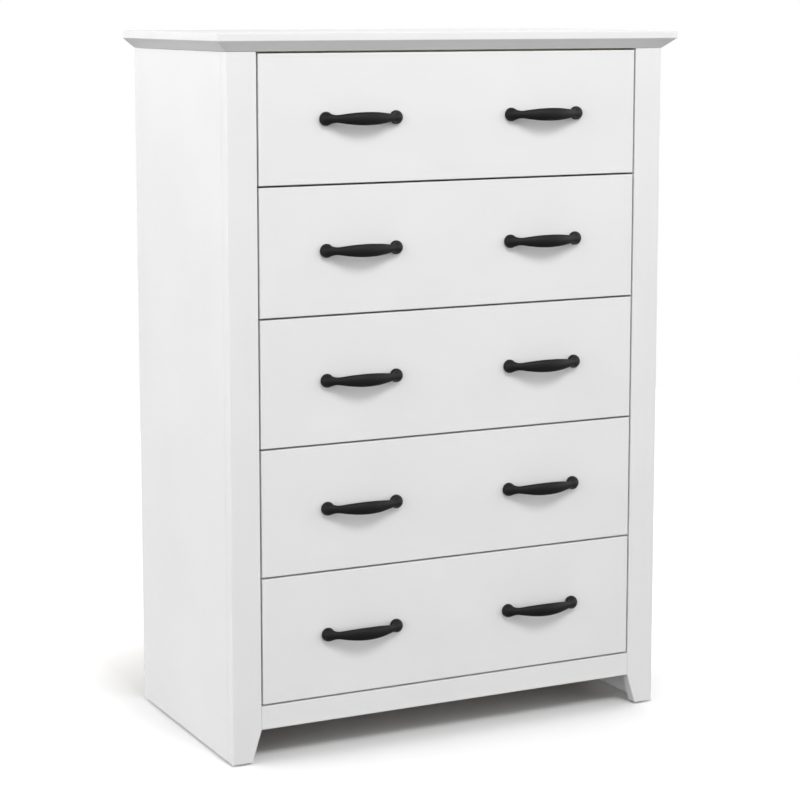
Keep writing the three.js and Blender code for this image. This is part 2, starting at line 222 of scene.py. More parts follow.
POPLAR_TONES = [(0.3, "#c4b08c"), (0.45, "#d6c7a8"), (0.6, "#e0d4ba"), (0.72, "#cfbe9b")]
BEECH_TONES = [(0.3, "#b98a5c"), (0.5, "#cc9f70"), (0.7, "#d8ae80")]
POPLAR_ALONG_X = make_wood("poplar_planed_long", 0, POPLAR_TONES, roughness=0.6)
POPLAR_ALONG_Y = make_wood("poplar_planed_deep", 1, POPLAR_TONES, roughness=0.6)
BEECH = make_wood("beech_waxed", 1, BEECH_TONES, roughness=0.45, fleck="#8f6138")
print("woods:", [wood.name for wood in (POPLAR_ALONG_X, POPLAR_ALONG_Y, BEECH)])

# %% [markdown]
# ## Hardboard
# The back and the drawer bottoms are hardboard: wood fibre pressed into thin sheets. One face is
# printed white. The other stays raw, brown and mottled, with a fine matted surface.

# %% Make both faces of the hardboard
FIBRE_CLUMP = 2.5 * MM
PATCH_SIZE = 60 * MM


def make_printed_hardboard():
    """The white face, smooth enough to wipe."""
    material, tree, shader = new_material("hardboard_printed_white")
    place = add_node(tree, "TexCoord").outputs["Object"]
    mat = add_node(tree, "TexNoise", {"Vector": place, "Scale": 1 / FIBRE_CLUMP, "Detail": 4.0})
    tint = add_node(tree, "ValToRGB", {"Fac": mat.outputs["Fac"]},
                    steps=[(0.3, "#dedcd8"), (0.7, "#e6e5e2")])
    relief = add_node(tree, "Bump", {"Height": mat.outputs["Fac"], "Strength": 0.2, "Distance": 0.05 * MM})
    tree.links.new(tint.outputs["Color"], shader.inputs["Base Color"])
    tree.links.new(relief.outputs["Normal"], shader.inputs["Normal"])
    shader.inputs["Roughness"].default_value = 0.55
    return material


def make_raw_hardboard():
    """The brown face: matted fibres, in patches of lighter and darker brown."""
    material, tree, shader = new_material("hardboard_raw_pressed")
    place = add_node(tree, "TexCoord").outputs["Object"]
    mat = add_node(tree, "TexNoise", {"Vector": place, "Scale": 1 / FIBRE_CLUMP, "Detail": 6.0,
                                      "Roughness": 0.7})
    patches = add_node(tree, "TexNoise", {"Vector": place, "Scale": 1 / PATCH_SIZE, "Detail": 3.0})
    blend = add_node(tree, "Math", {0: patches.outputs["Fac"], 1: 0.35, 2: mat.outputs["Fac"]},
                     operation="MULTIPLY_ADD")
    tint = add_node(tree, "ValToRGB", {"Fac": blend.outputs[0]},
                    steps=[(0.45, "#6b5845"), (0.65, "#857058"), (0.9, "#9d876e")])
    relief = add_node(tree, "Bump", {"Height": mat.outputs["Fac"], "Strength": 0.5, "Distance": 0.1 * MM})
    tree.links.new(tint.outputs["Color"], shader.inputs["Base Color"])
    tree.links.new(relief.outputs["Normal"], shader.inputs["Normal"])
    shader.inputs["Roughness"].default_value = 0.85
    return material


HARDBOARD_WHITE = make_printed_hardboard()
HARDBOARD_RAW = make_raw_hardboard()
print("hardboard:", HARDBOARD_WHITE.name, "and", HARDBOARD_RAW.name)

# %% [markdown]
# ## Handles, plastics and steel
# The handles are die-cast zinc with a matt black powder coat. Baked powder has a fine grain and a soft,
# broad highlight, weaker than on smooth paint. The back's joining strip is extruded plastic and the
# glides are moulded plastic, both with a faint grain. Screws and nails are steel with a thin zinc
# plating, brushed by handling.

# %% Make the powder coat, the plastics and the steel
def make_grained(name, tones, grain_size, roughness, relief_depth, metal=0.0, mirror=0.5):
    """A finish with one grain: two tones, a spread of roughness and a shallow relief.

    metal is 1 for bare metal, and mirror says how strongly a smooth skin reflects: 0.5 is usual.
    """
    material, tree, shader = new_material(name)
    place = add_node(tree, "TexCoord").outputs["Object"]
    grain = add_node(tree, "TexNoise", {"Vector": place, "Scale": 1 / grain_size, "Detail": 3.0})
    tint = add_node(tree, "ValToRGB", {"Fac": grain.outputs["Fac"]},
                    steps=[(0.35, tones[0]), (0.65, tones[1])])
    rough = add_node(tree, "MapRange", {"Value": grain.outputs["Fac"], "To Min": roughness - 0.07,
                                        "To Max": roughness + 0.07})
    relief = add_node(tree, "Bump", {"Height": grain.outputs["Fac"], "Strength": 0.4,
                                     "Distance": relief_depth})
    tree.links.new(tint.outputs["Color"], shader.inputs["Base Color"])
    tree.links.new(rough.outputs["Result"], shader.inputs["Roughness"])
    tree.links.new(relief.outputs["Normal"], shader.inputs["Normal"])
    shader.inputs["Metallic"].default_value = metal
    shader.inputs["Specular IOR Level"].default_value = mirror
    return material


POWDER_COAT = make_grained("powder_coat_matt_black", ("#0d0d0d", "#121212"), grain_size=0.8 * MM,
                           roughness=0.55, relief_depth=0.05 * MM, mirror=0.25)
STRIP_PLASTIC = make_grained("pvc_extruded_white", ("#e2e2df", "#e9e9e6"), grain_size=4 * MM,
                             roughness=0.4, relief_depth=0.02 * MM)
GLIDE_PLASTIC = make_grained("polythene_moulded_grey", ("#bcbdbd", "#c6c7c7"), grain_size=1 * MM,
                             roughness=0.5, relief_depth=0.03 * MM)
ZINC_STEEL = make_grained("steel_zinc_plated", ("#a9adb0", "#c4c7c9"), grain_size=0.6 * MM,
                          roughness=0.35, relief_depth=0.02 * MM, metal=1.0)
print("materials in all:", len(bpy.data.materials))

# %% [markdown]
# ## Modelling: a few helpers
# Every board starts as a cube of the board's size, put where the CAD node is. The cube is then shaped
# in edit mode. Operators work on what is selected, so each step first selects nothing and then picks
# faces, edges or points by where they are.

# %% Helpers for starting, selecting and cutting
CLOSE = 0.05 * MM
SHARP_TURN = math.radians(57)  # more than this between two faces is an arris, not a rounding


def start_block(low, high):
    """A cube from one corner to the other, with its object at the origin."""
    bpy.ops.object.select_all(action="DESELECT")
    low, high = Vector(low), Vector(high)
    bpy.ops.mesh.primitive_cube_add(size=1, location=(low + high) / 2, scale=high - low)
    bpy.ops.object.transform_apply(location=True, rotation=True, scale=True)
    return bpy.context.object


def choose(kind, test):
    """In edit mode, select only those faces, edges or verts that pass the test."""
    mode = {"faces": "FACE", "edges": "EDGE", "verts": "VERT"}[kind]
    bpy.ops.mesh.select_mode(type=mode)
    bpy.ops.mesh.select_all(action="DESELECT")
    mesh = bpy.context.object.data
    shape = bmesh.from_edit_mesh(mesh)
    for part in getattr(shape, kind):
        part.select_set(bool(test(part)))
    shape.select_flush_mode()
    bmesh.update_edit_mesh(mesh)


def near(value, target):
    """True where a place is the target, within the play that the numbers have."""
    return abs(value - target) < CLOSE


def middle(part):
    """The middle of a face or an edge."""
    return sum((v.co for v in part.verts), Vector()) / len(part.verts)


def is_square(edge):
    """True for an edge where two faces meet at about a right angle."""
    return edge.calc_face_angle(0) > SHARP_TURN


def looks(face, direction):
    """True for a face that looks straight along a direction."""
    return face.normal.dot(Vector(direction)) > 0.99


def cut_across(axis, *places):
    """Cut the whole shape across one axis at each place, adding edges and taking nothing away."""
    normal = [0, 0, 0]
    normal[axis] = 1
    for place in places:
        bpy.ops.mesh.select_all(action="SELECT")
        bpy.ops.mesh.bisect(plane_co=[n * place for n in normal], plane_no=normal)


def push_out(test, move):
    """Extrude the faces that pass the test by a move."""
    choose("faces", test)
    bpy.ops.mesh.extrude_region_move(TRANSFORM_OT_translate={"value": move})


def round_edges(test, radius, segments=4):
    """Round the edges that pass the test."""
    choose("edges", test)
    bpy.ops.mesh.bevel(offset=radius, segments=segments, affect="EDGES")


# %% [markdown]
# A sheet of lacquered board has no truly sharp edges. A Bevel modifier eases what is still square, and
# a Weighted Normal modifier keeps the wide faces looking flat while the small roundings shade smoothly.
# A groove is cut with a Boolean modifier, in the way that a router cuts it: the cutter is a block.

# %% Helpers for finishing
PAST = 5 * MM  # how far a cutter reaches past the board it cuts
EASE_ABOVE = math.radians(38)  # edges that turn more than this are eased
SMOOTH_BELOW = math.radians(50)  # faces that turn less than this shade as one surface


def apply_modifier(piece, kind, **settings):
    """Add a modifier with these settings and apply it."""
    bpy.context.view_layer.objects.active = piece
    modifier = piece.modifiers.new(kind.lower(), kind)
    for name, value in settings.items():
        setattr(modifier, name, value)
    bpy.ops.object.modifier_apply(modifier=modifier.name)


def rout(piece, low, high):
    """Cut a block out of a piece with a Boolean."""
    cutter = start_block(low, high)
    apply_modifier(piece, "BOOLEAN", operation="DIFFERENCE", object=cutter, solver="EXACT")
    bpy.data.objects.remove(cutter)


def ease(piece, width, segments=2):
    """Ease every edge that is still square, and shade the piece."""
    bpy.ops.object.select_all(action="DESELECT")
    piece.select_set(True)
    apply_modifier(piece, "BEVEL", width=width, segments=segments, limit_method="ANGLE",
                   angle_limit=EASE_ABOVE, harden_normals=False)
    bpy.ops.object.shade_smooth_by_angle(angle=SMOOTH_BELOW)
    apply_modifier(piece, "WEIGHTED_NORMAL", keep_sharp=True, weight=100)


def stand_for(piece, node, *materials):
    """Name a finished piece, give it its finish and let it stand for a CAD node."""
    piece.name = piece.data.name = node + "_finished"
    for material in materials:
        piece.data.materials.append(material)
    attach(piece, BODY_OF[node])
    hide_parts(node)
    return piece


def mesh_size(piece):
    """A piece's name and how many faces it has, to print."""
    return f"{piece.name}: {len(piece.data.polygons)} faces"


def copy_moved(piece, node, move):
    """Make a copy with its own mesh, moved, that stands for another node of the same shape."""
    copy = bpy.data.objects.new(node, piece.data.copy())
    bpy.context.scene.collection.objects.link(copy)
    copy.data.transform(Matrix.Translation(move))
    stand_for(copy, node)


# %% [markdown]
# ## The top panel
# The top is one thick board. Its front and side edges are square above and planed to a wide chamfer
# below, down to the body, while the back edge is flush. A cut round the board where the chamfer starts
# lets the points below it be pulled in: the side ones sideways and the front ones back.

# %% Model the top panel
BODY_LOW, BODY_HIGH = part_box("side_panel_left")[0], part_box("side_panel_right")[1]
FRONT_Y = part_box("front_stile_left")[0].y
CHAMFER_HEIGHT = 16 * MM
TOP_ROUNDING = 1.5 * MM

low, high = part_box("top_panel")
chamfer_top = low.z + CHAMFER_HEIGHT
top = start_block(low, high)
bpy.ops.object.mode_set(mode="EDIT")
cut_across(2, chamfer_top)
for outer, inner in ((low.x, BODY_LOW.x), (high.x, BODY_HIGH.x)):
    choose("verts", lambda v: near(v.co.z, low.z) and near(v.co.x, outer))
    bpy.ops.transform.translate(value=(inner - outer, 0, 0))
choose("verts", lambda v: near(v.co.z, low.z) and near(v.co.y, low.y))
bpy.ops.transform.translate(value=(0, FRONT_Y - low.y, 0))
round_edges(lambda e: near(middle(e).z, high.z) and is_square(e), TOP_ROUNDING)
bpy.ops.object.mode_set(mode="OBJECT")
ease(top, width=0.8 * MM)
print(mesh_size(stand_for(top, "top_panel", LACQUER)))

# %% [markdown]
# ## The side panels and the stiles
# Each side panel is a plain board with a step, a rebate, along its back edge for the back panel. Each
# front stile is glued on the panel's front edge. The joint shows as a fine line, because both boards
# have eased edges. The stile's lower end is sawn to a taper on its inner side and becomes the front
# foot. The outer front arris is rounded more than the others, and catches the light.

# %% Model the side panels and the stiles
ARRIS_ROUNDING = 2.2 * MM
SEAM_EASE = 0.35 * MM
FIT = 0.3 * MM  # play round a sheet in its groove or rebate
REBATE_FRONT_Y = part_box("back_panel_upper")[0].y - FIT
REBATE_HALF_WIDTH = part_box("back_panel_upper")[1].x + FIT
APRON_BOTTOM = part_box("bottom_rail")[0].z
FOOT_WIDTH = 33 * MM


def side_panel(name, side):
    """A plain board with a rebate for the back. Its side is -1 on the left and 1 on the right."""
    node = "side_panel_" + name
    low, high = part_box(node)
    panel = start_block(low, high)
    inner = min(abs(low.x), abs(high.x)) - PAST
    across = sorted((side * REBATE_HALF_WIDTH, side * inner))
    rout(panel, (across[0], REBATE_FRONT_Y, low.z - PAST), (across[1], high.y + PAST, high.z + PAST))
    ease(panel, width=SEAM_EASE)
    return stand_for(panel, node, LACQUER)


def front_stile(name, side):
    """A board with a rounded outer arris, whose foot tapers on its inner edge."""
    node = "front_stile_" + name
    low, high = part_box(node)
    outer, inner = (low.x, high.x) if side < 0 else (high.x, low.x)
    stile = start_block(low, high)
    bpy.ops.object.mode_set(mode="EDIT")
    cut_across(2, APRON_BOTTOM)
    choose("verts", lambda v: near(v.co.z, low.z) and near(v.co.x, inner))
    bpy.ops.transform.translate(value=(outer - side * FOOT_WIDTH - inner, 0, 0))
    round_edges(lambda e: near(middle(e).x, outer) and near(middle(e).y, low.y), ARRIS_ROUNDING)
    bpy.ops.object.mode_set(mode="OBJECT")
    ease(stile, width=0.7 * MM)
    return stand_for(stile, node, LACQUER)


for name, side in SIDES.items():
    print(mesh_size(side_panel(name, side)), "|", mesh_size(front_stile(name, side)))

# %% [markdown]
# ## The rails
# Three rails tie the sides together. The lacquered one below the lowest drawer shows. The poplar one
# behind the top drawer's front and the one at the back edge are hidden, but they are what keeps
# the cabinet square. Each is a planed board with eased edges, so a block and a bevel are enough.

# %% Model the rails
for node, material, edge in (
    ("bottom_rail", LACQUER, 0.7 * MM),
    ("top_front_rail", POPLAR_ALONG_X, 1.0 * MM),
    ("bottom_rear_rail", POPLAR_ALONG_X, 1.0 * MM),
):
    rail = start_block(*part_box(node))
    ease(rail, width=edge)
    print(mesh_size(stand_for(rail, node, material)))

# %% [markdown]
# ## The back
# The back is two sheets of hardboard, white inside and raw outside. A plastic strip with an H-shaped
# section joins them edge to edge. The strip grows from its front flange: a narrow band is extruded
# back as the web, and the end of the web spreads up and down as the rear flange.

# %% Model the back
WHITE_WITHIN = 0.5  # of facing that way fully: the eased edges round the white face are white too


def hardboard_sheet(node, white_direction):
    """A hardboard sheet whose white face looks along white_direction."""
    sheet = start_block(*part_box(node))
    ease(sheet, width=0.3 * MM, segments=1)
    stand_for(sheet, node, HARDBOARD_RAW, HARDBOARD_WHITE)
    for face in sheet.data.polygons:
        face.material_index = int(face.normal.dot(Vector(white_direction)) > WHITE_WITHIN)
    return sheet


for node in ("back_panel_lower", "back_panel_upper"):
    print(mesh_size(hardboard_sheet(node, (0, -1, 0))))

FLANGE = 1.2 * MM
WEB_HALF = 1.0 * MM
low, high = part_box("back_panel_joiner")
web_z = (low.z + high.z) / 2
strip = start_block(low, (high.x, low.y + FLANGE, high.z))
bpy.ops.object.mode_set(mode="EDIT")
cut_across(2, web_z - WEB_HALF, web_z + WEB_HALF)
web_depth = high.y - low.y - 2 * FLANGE
push_out(lambda f: looks(f, (0, 1, 0)) and near(middle(f).z, web_z), (0, web_depth, 0))
push_out(lambda f: looks(f, (0, 1, 0)) and near(middle(f).z, web_z), (0, FLANGE, 0))
for direction, edge in ((-1, low.z), (1, high.z)):
    push_out(lambda f: looks(f, (0, 0, direction)) and middle(f).y > high.y - FLANGE,
             (0, 0, edge - web_z - direction * WEB_HALF))
bpy.ops.object.mode_set(mode="OBJECT")
ease(strip, width=0.25 * MM, segments=1)
print(mesh_size(stand_for(strip, "back_panel_joiner", STRIP_PLASTIC)))

# %% [markdown]
# ## The glides
# A glide is a low plastic button nailed under a foot. One is made from a cylinder whose lower rim is
# rounded, with a shallow dimple in its face where the nail's head sits. The others are copies.

# %% Model the glides
GLIDE_RIM = 1.0 * MM
DIMPLE_MARGIN = 3.0 * MM
DIMPLE_DEPTH = 0.6 * MM


def centre_of(node):
    """The middle of a CAD node's box."""
    low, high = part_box(node)
    return (low + high) / 2


low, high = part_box("glide_front_left")
radius = (high.x - low.x) / 2
bpy.ops.object.select_all(action="DESELECT")
bpy.ops.mesh.primitive_cylinder_add(vertices=32, radius=radius, depth=high.z - low.z,
                                    location=(low + high) / 2)
bpy.ops.object.transform_apply(location=True, rotation=True, scale=True)
glide = bpy.context.object
bpy.ops.object.mode_set(mode="EDIT")
round_edges(lambda e: near(middle(e).z, low.z) and is_square(e), GLIDE_RIM)
choose("faces", lambda f: looks(f, (0, 0, -1)))
bpy.ops.mesh.inset(thickness=DIMPLE_MARGIN)
bpy.ops.mesh.inset(thickness=DIMPLE_DEPTH, depth=-DIMPLE_DEPTH)
bpy.ops.object.mode_set(mode="OBJECT")
ease(glide, width=0.15 * MM, segments=1)
stand_for(glide, "glide_front_left", GLIDE_PLASTIC)
for node in ("glide_front_right", "glide_rear_left", "glide_rear_right"):
    copy_moved(glide, node, centre_of(node) - centre_of("glide_front_left"))
print(mesh_size(glide), "and three copies")

# %% [markdown]
# ## The drawer boxes
# All five drawers are the same, so the top one is modelled and the rest are copies, a drawer's pitch
# lower each time. The front has a groove inside for the bottom's front edge. Each side has two grooves:
# a narrow one inside for the bottom, and a wide one outside that rides on the runner's tongue.

# %% Model the top drawer's boards
FRONT_ROUNDING = 1.2 * MM
GROOVE_DEPTH = 8 * MM
GROOVE_HEIGHT = 17 * MM
BOTTOM_GROOVE_DEPTH = 5 * MM


def drawer_front(node, bottom_node):
    """A lacquered front, grooved inside for the bottom, with rounded front edges."""
    low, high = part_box(node)
    sheet_low, sheet_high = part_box(bottom_node)
    board = start_block(low, high)
    rout(board, (sheet_low.x - FIT, sheet_low.y - FIT, sheet_low.z - FIT),
         (sheet_high.x + FIT, high.y + PAST, sheet_high.z + FIT))
    bpy.context.view_layer.objects.active = board
    bpy.ops.object.mode_set(mode="EDIT")
    round_edges(lambda e: near(middle(e).y, low.y) and is_square(e), FRONT_ROUNDING)
    bpy.ops.object.mode_set(mode="OBJECT")
    ease(board, width=0.4 * MM)
    return stand_for(board, node, LACQUER)


def drawer_side(node, side, bottom_node, runner_node):
    """A poplar side, grooved outside for the runner's tongue and inside for the bottom."""
    low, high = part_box(node)
    sheet_low, sheet_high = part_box(bottom_node)
    runner_low, runner_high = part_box(runner_node)
    groove_z = (runner_low.z + runner_high.z) / 2
    board = start_block(low, high)
    inner, outer = (high.x, low.x) if side < 0 else (low.x, high.x)
    across = sorted((outer - side * GROOVE_DEPTH, outer + side * PAST))
    rout(board, (across[0], low.y - PAST, groove_z - GROOVE_HEIGHT / 2),
         (across[1], high.y + PAST, groove_z + GROOVE_HEIGHT / 2))
    across = sorted((inner - side * PAST, inner + side * BOTTOM_GROOVE_DEPTH))
    rout(board, (across[0], low.y - PAST, sheet_low.z - FIT),
         (across[1], high.y + PAST, sheet_high.z + FIT))
    ease(board, width=0.8 * MM)
    return stand_for(board, node, POPLAR_ALONG_Y)


first = {"front": drawer_front("drawer_1_front", "drawer_1_bottom")}
for name, side in SIDES.items():
    first["side_" + name] = drawer_side("drawer_1_side_" + name, side, "drawer_1_bottom",
                                        "runner_1_" + name)
back = start_block(*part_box("drawer_1_back"))
ease(back, width=1.0 * MM)
first["back"] = stand_for(back, "drawer_1_back", POPLAR_ALONG_X)
first["bottom"] = hardboard_sheet("drawer_1_bottom", (0, 0, 1))
print("; ".join(mesh_size(piece) for piece in first.values()))

# %% [markdown]
# The same five boards now go one pitch lower for each of the other drawers. Each copy has its own mesh,
# so a drawer can be edited later without changing its neighbours.

# %% Copy them to the other drawers
for number in DRAWERS:
    drop = centre_of(f"drawer_{number}_front") - centre_of("drawer_1_front")
    if number > 1:
        for part, piece in first.items():
            copy_moved(piece, f"drawer_{number}_{part}", drop)
print("drawer pitch:", round(-drop.z / (len(DRAWERS) - 1) / MM, 1), "mm")

# %% [markdown]
# ## The runners
# A runner is a beech batten screwed to the cabinet's side. A tongue along its inner face carries the
# drawer and a block at its back end stops it, so that its front comes to rest flush. The batten's inner
# face is cut into fields, and the fields of the tongue and the stop are extruded.

# %% Model the runners
TONGUE_HEIGHT = 15.5 * MM
TONGUE_REACH = 10 * MM
STOP_REACH = 15 * MM
TONGUE_SETBACK = 4 * MM
STOP_GAP = 0.6 * MM


def runner(node, side, drawer_side_node):
    """A batten with a tongue along its inner face and a stop at its back end."""
    low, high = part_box(node)
    groove_z = (low.z + high.z) / 2
    outer = low.x if side < 0 else high.x
    face_x = outer - side * (high.x - low.x - STOP_REACH)
    stop_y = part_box(drawer_side_node)[1].y + STOP_GAP
    corners = sorted((outer, face_x))
    batten = start_block((corners[0], low.y, low.z), (corners[1], high.y, high.z))
    bpy.ops.object.mode_set(mode="EDIT")
    cut_across(1, low.y + TONGUE_SETBACK, stop_y)
    cut_across(2, groove_z - TONGUE_HEIGHT / 2, groove_z + TONGUE_HEIGHT / 2)
    push_out(lambda f: looks(f, (-side, 0, 0)) and middle(f).y > stop_y, (-side * STOP_REACH, 0, 0))
    push_out(lambda f: looks(f, (-side, 0, 0)) and near(middle(f).x, face_x)
             and near(middle(f).z, groove_z) and low.y + TONGUE_SETBACK < middle(f).y < stop_y,
             (-side * TONGUE_REACH, 0, 0))
    bpy.ops.object.mode_set(mode="OBJECT")
    ease(batten, width=0.5 * MM)
    return stand_for(batten, node, BEECH)


for name, side in SIDES.items():
    model = runner("runner_1_" + name, side, "drawer_1_side_" + name)
    for number in list(DRAWERS)[1:]:
        node = f"runner_{number}_{name}"
        copy_moved(model, node, centre_of(node) - centre_of("runner_1_" + name))
    print(mesh_size(model))

# %% [markdown]
# ## The handles
# A bow handle is cast in one piece: a round foot, a narrow neck and a grip that swells to the middle.
# Extruding a disc ring by ring would work, but here the rings come first, like the ribs of a boat: a
# circle is laid at each station along half of the bow, at its own place, angle and size, and one bridge
# runs a skin over them all. A Mirror modifier adds the other half, and a Subdivision Surface rounds it.
# Without a window, the rotate operator turns clockwise seen from above, and this suits the bow's right
# half.
#
# Each row is one ring: its centre along the front and out from it, how far it has turned from facing
# out to facing along the bow, and its half height and half thickness. Lengths are in millimetres.

# %% Model one handle
SEAT_MARGIN = 3 * MM  # a ring inside the foot's flat face, which keeps its rim round
RINGS = (
    # along, out, turn, half height, half thickness
    (59.0, 0.3, 0, 10.6, 10.6),
    (59.0, 0.7, 0, 10.9, 10.9),
    (59.0, 2.5, 0, 11.1, 11.1),
    (58.9, 5.0, 4, 10.9, 10.7),
    (58.2, 7.6, 14, 10.0, 9.4),
    (56.2, 10.0, 30, 8.6, 7.3),
    (53.0, 12.0, 43, 7.2, 5.6),
    (48.8, 14.0, 52, 6.05, 4.5),
    (44.6, 16.0, 56, 6.2, 4.3),
    (38.5, 18.4, 62, 7.2, 4.4),
    (30.0, 21.4, 70, 8.5, 4.9),
    (20.0, 24.0, 77, 9.6, 5.5),
    (10.0, 25.7, 84, 10.2, 5.8),
    (0.0, 26.2, 90, 10.4, 5.9),
)


def lay_ring(along, out, turn, height, thickness):
    """A circle at one station of the bow: laid facing out, squashed, then turned along the bow."""
    place = Vector((along, -out, 0)) * MM
    bpy.ops.mesh.primitive_circle_add(vertices=16, radius=height * MM, location=place,
                                      rotation=(math.pi / 2, 0, 0))
    if bpy.context.mode == "EDIT_MESH":
        bpy.ops.transform.resize(value=(thickness / height, 1, 1), center_override=place)
        bpy.ops.transform.rotate(value=math.radians(turn), orient_axis="Z", center_override=place)


bpy.ops.object.select_all(action="DESELECT")
lay_ring(*RINGS[0])
bpy.ops.object.transform_apply(location=True, rotation=True, scale=True)
handle = bpy.context.object
bpy.ops.object.mode_set(mode="EDIT")
for ring in RINGS[1:]:
    lay_ring(*ring)
bpy.ops.mesh.select_all(action="SELECT")
bpy.ops.mesh.bridge_edge_loops()
choose("verts", lambda v: near(v.co.y, -RINGS[0][1] * MM))
bpy.ops.mesh.edge_face_add()
bpy.ops.mesh.inset(thickness=SEAT_MARGIN)
bpy.ops.mesh.select_all(action="SELECT")
bpy.ops.mesh.normals_make_consistent(inside=False)
bpy.ops.object.mode_set(mode="OBJECT")
apply_modifier(handle, "MIRROR", use_axis=(True, False, False), use_clip=True, merge_threshold=0.01 * MM)
apply_modifier(handle, "SUBSURF", levels=2, render_levels=2)
bpy.ops.object.shade_smooth()
print("one handle:", len(handle.data.polygons), "faces,", round(handle.dimensions.x / MM, 1), "mm long")

# %% [markdown]
# Each drawer gets two handles, and every handle is the same casting. A copy is moved to the middle of its
# CAD node, with its feet on the drawer's front.

# %% Fit the ten handles
handle.data.materials.append(POWDER_COAT)
for number in DRAWERS:
    for name in SIDES:
        node = f"drawer_{number}_handle_{name}"
        centre = centre_of(node)
        copy_moved(handle, node, Vector((centre.x, FRONT_Y, centre.z)))
bpy.data.objects.remove(handle)
print("handles fitted:", len(DRAWERS) * len(SIDES))

# %% [markdown]
# ## Screws and nails
# Small fasteners are what a maker would look for when a drawer is pulled out. All of them are made at
# the origin, standing on a surface that faces up, and copied to where they are driven in. One handle
# screw has a domed pan head with a cross recess, on a flat washer. A wood screw's head is flat and sits
# flush. A cam lock is the disc that draws a drawer's side to its front. A panel nail has a low round head.

# %% Helpers for fasteners
def start_disc(radius, bottom, top, vertices=24):
    """A disc on the Z axis, with its object at the origin."""
    bpy.ops.object.select_all(action="DESELECT")
    bpy.ops.mesh.primitive_cylinder_add(vertices=vertices, radius=radius, depth=top - bottom,
                                        location=(0, 0, (top + bottom) / 2))
    bpy.ops.object.transform_apply(location=True, rotation=True, scale=True)
    return bpy.context.object


def cut_cross(piece, length, width, floor, top):
    """Cut a cross recess down to its floor."""
    for across, along in ((length, width), (width, length)):
        rout(piece, (-across / 2, -along / 2, floor), (across / 2, along / 2, top + PAST))


def join(pieces):
    """Join pieces into the first of them."""
    bpy.ops.object.select_all(action="DESELECT")
    for piece in pieces:
        piece.select_set(True)
    bpy.context.view_layer.objects.active = pieces[0]
    bpy.ops.object.join()
    return pieces[0]


def drive_in(model, name, body, places):
    """Copy a fastener to each (point, direction it faces), as one piece that rides on a body."""
    copies = []
    for point, facing in places:
        copy = bpy.data.objects.new(name, model.data.copy())
        bpy.context.scene.collection.objects.link(copy)
        turn = facing.to_track_quat("Z", "Y").to_matrix().to_4x4()
        copy.data.transform(Matrix.Translation(point) @ turn)
        copies.append(copy)
    piece = join(copies)
    piece.name = piece.data.name = name
    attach(piece, body)


# %% [markdown]
# The screws come first. Both heads have a cross recess, which two thin blocks cut one after the other.
# More than half of the pan head's height is rounding. The flat head's rim is only just eased.

# %% Model the screws
def dome_rim(piece, top, radius, segments=4):
    """Round a disc's upper rim."""
    bpy.context.view_layer.objects.active = piece
    bpy.ops.object.mode_set(mode="EDIT")
    round_edges(lambda e: near(middle(e).z, top) and is_square(e), radius, segments)
    bpy.ops.object.mode_set(mode="OBJECT")


WASHER_RADIUS, WASHER_TOP = 4.8 * MM, 0.8 * MM
PAN_RADIUS, PAN_TOP, PAN_ROUNDING = 3.9 * MM, 3.2 * MM, 1.5 * MM
washer = start_disc(WASHER_RADIUS, bottom=0, top=WASHER_TOP)
pan_head = start_disc(PAN_RADIUS, bottom=WASHER_TOP, top=PAN_TOP)
dome_rim(pan_head, PAN_TOP, PAN_ROUNDING)
cut_cross(pan_head, length=4.2 * MM, width=0.9 * MM, floor=1.6 * MM, top=PAN_TOP)
ease(pan_head, width=0.08 * MM, segments=1)
ease(washer, width=0.15 * MM, segments=1)
handle_screw = join([pan_head, washer])

FLUSH = 0.2 * MM  # how far a flat head stands out of the wood
FLAT_HEAD_RADIUS = 3.6 * MM
wood_screw = start_disc(FLAT_HEAD_RADIUS, bottom=-1.5 * MM, top=FLUSH)
dome_rim(wood_screw, FLUSH, 0.1 * MM, segments=1)
cut_cross(wood_screw, length=3.6 * MM, width=0.8 * MM, floor=-1.2 * MM, top=FLUSH)
ease(wood_screw, width=0.05 * MM, segments=1)
print("handle screw head:", PAN_TOP / MM, "mm high; wood screw head:", FLUSH / MM, "mm proud")

# %% [markdown]
# The cam lock is a wider disc with a deeper cross recess. The nail is a small disc with a well rounded rim
# and no recess. When both are made, all four fasteners get the same zinc-plated steel.

# %% Model the cam lock and the nail
CAM_RADIUS = 7.5 * MM
cam_lock = start_disc(CAM_RADIUS, bottom=-2 * MM, top=FLUSH, vertices=32)
dome_rim(cam_lock, FLUSH, 0.15 * MM, segments=1)
cut_cross(cam_lock, length=7.0 * MM, width=1.4 * MM, floor=-1.6 * MM, top=FLUSH)
ease(cam_lock, width=0.08 * MM, segments=1)

NAIL_RADIUS, NAIL_TOP, NAIL_ROUNDING = 2.6 * MM, 0.7 * MM, 0.6 * MM
nail = start_disc(NAIL_RADIUS, bottom=-0.5 * MM, top=NAIL_TOP)
dome_rim(nail, NAIL_TOP, NAIL_ROUNDING, segments=3)
ease(nail, width=0.05 * MM, segments=1)
for name, fastener in (("handle screw", handle_screw), ("wood screw", wood_screw),
                       ("cam lock", cam_lock), ("nail", nail)):
    fastener.data.materials.clear()
    fastener.data.materials.append(ZINC_STEEL)
    print("one " + name + ":", len(fastener.data.polygons), "faces")

# %% [markdown]
# In each drawer, one screw goes through the front into each foot of a handle. Cam locks near the front
# edge hold a side to the front, and wood screws near the back edge hold it to the back.

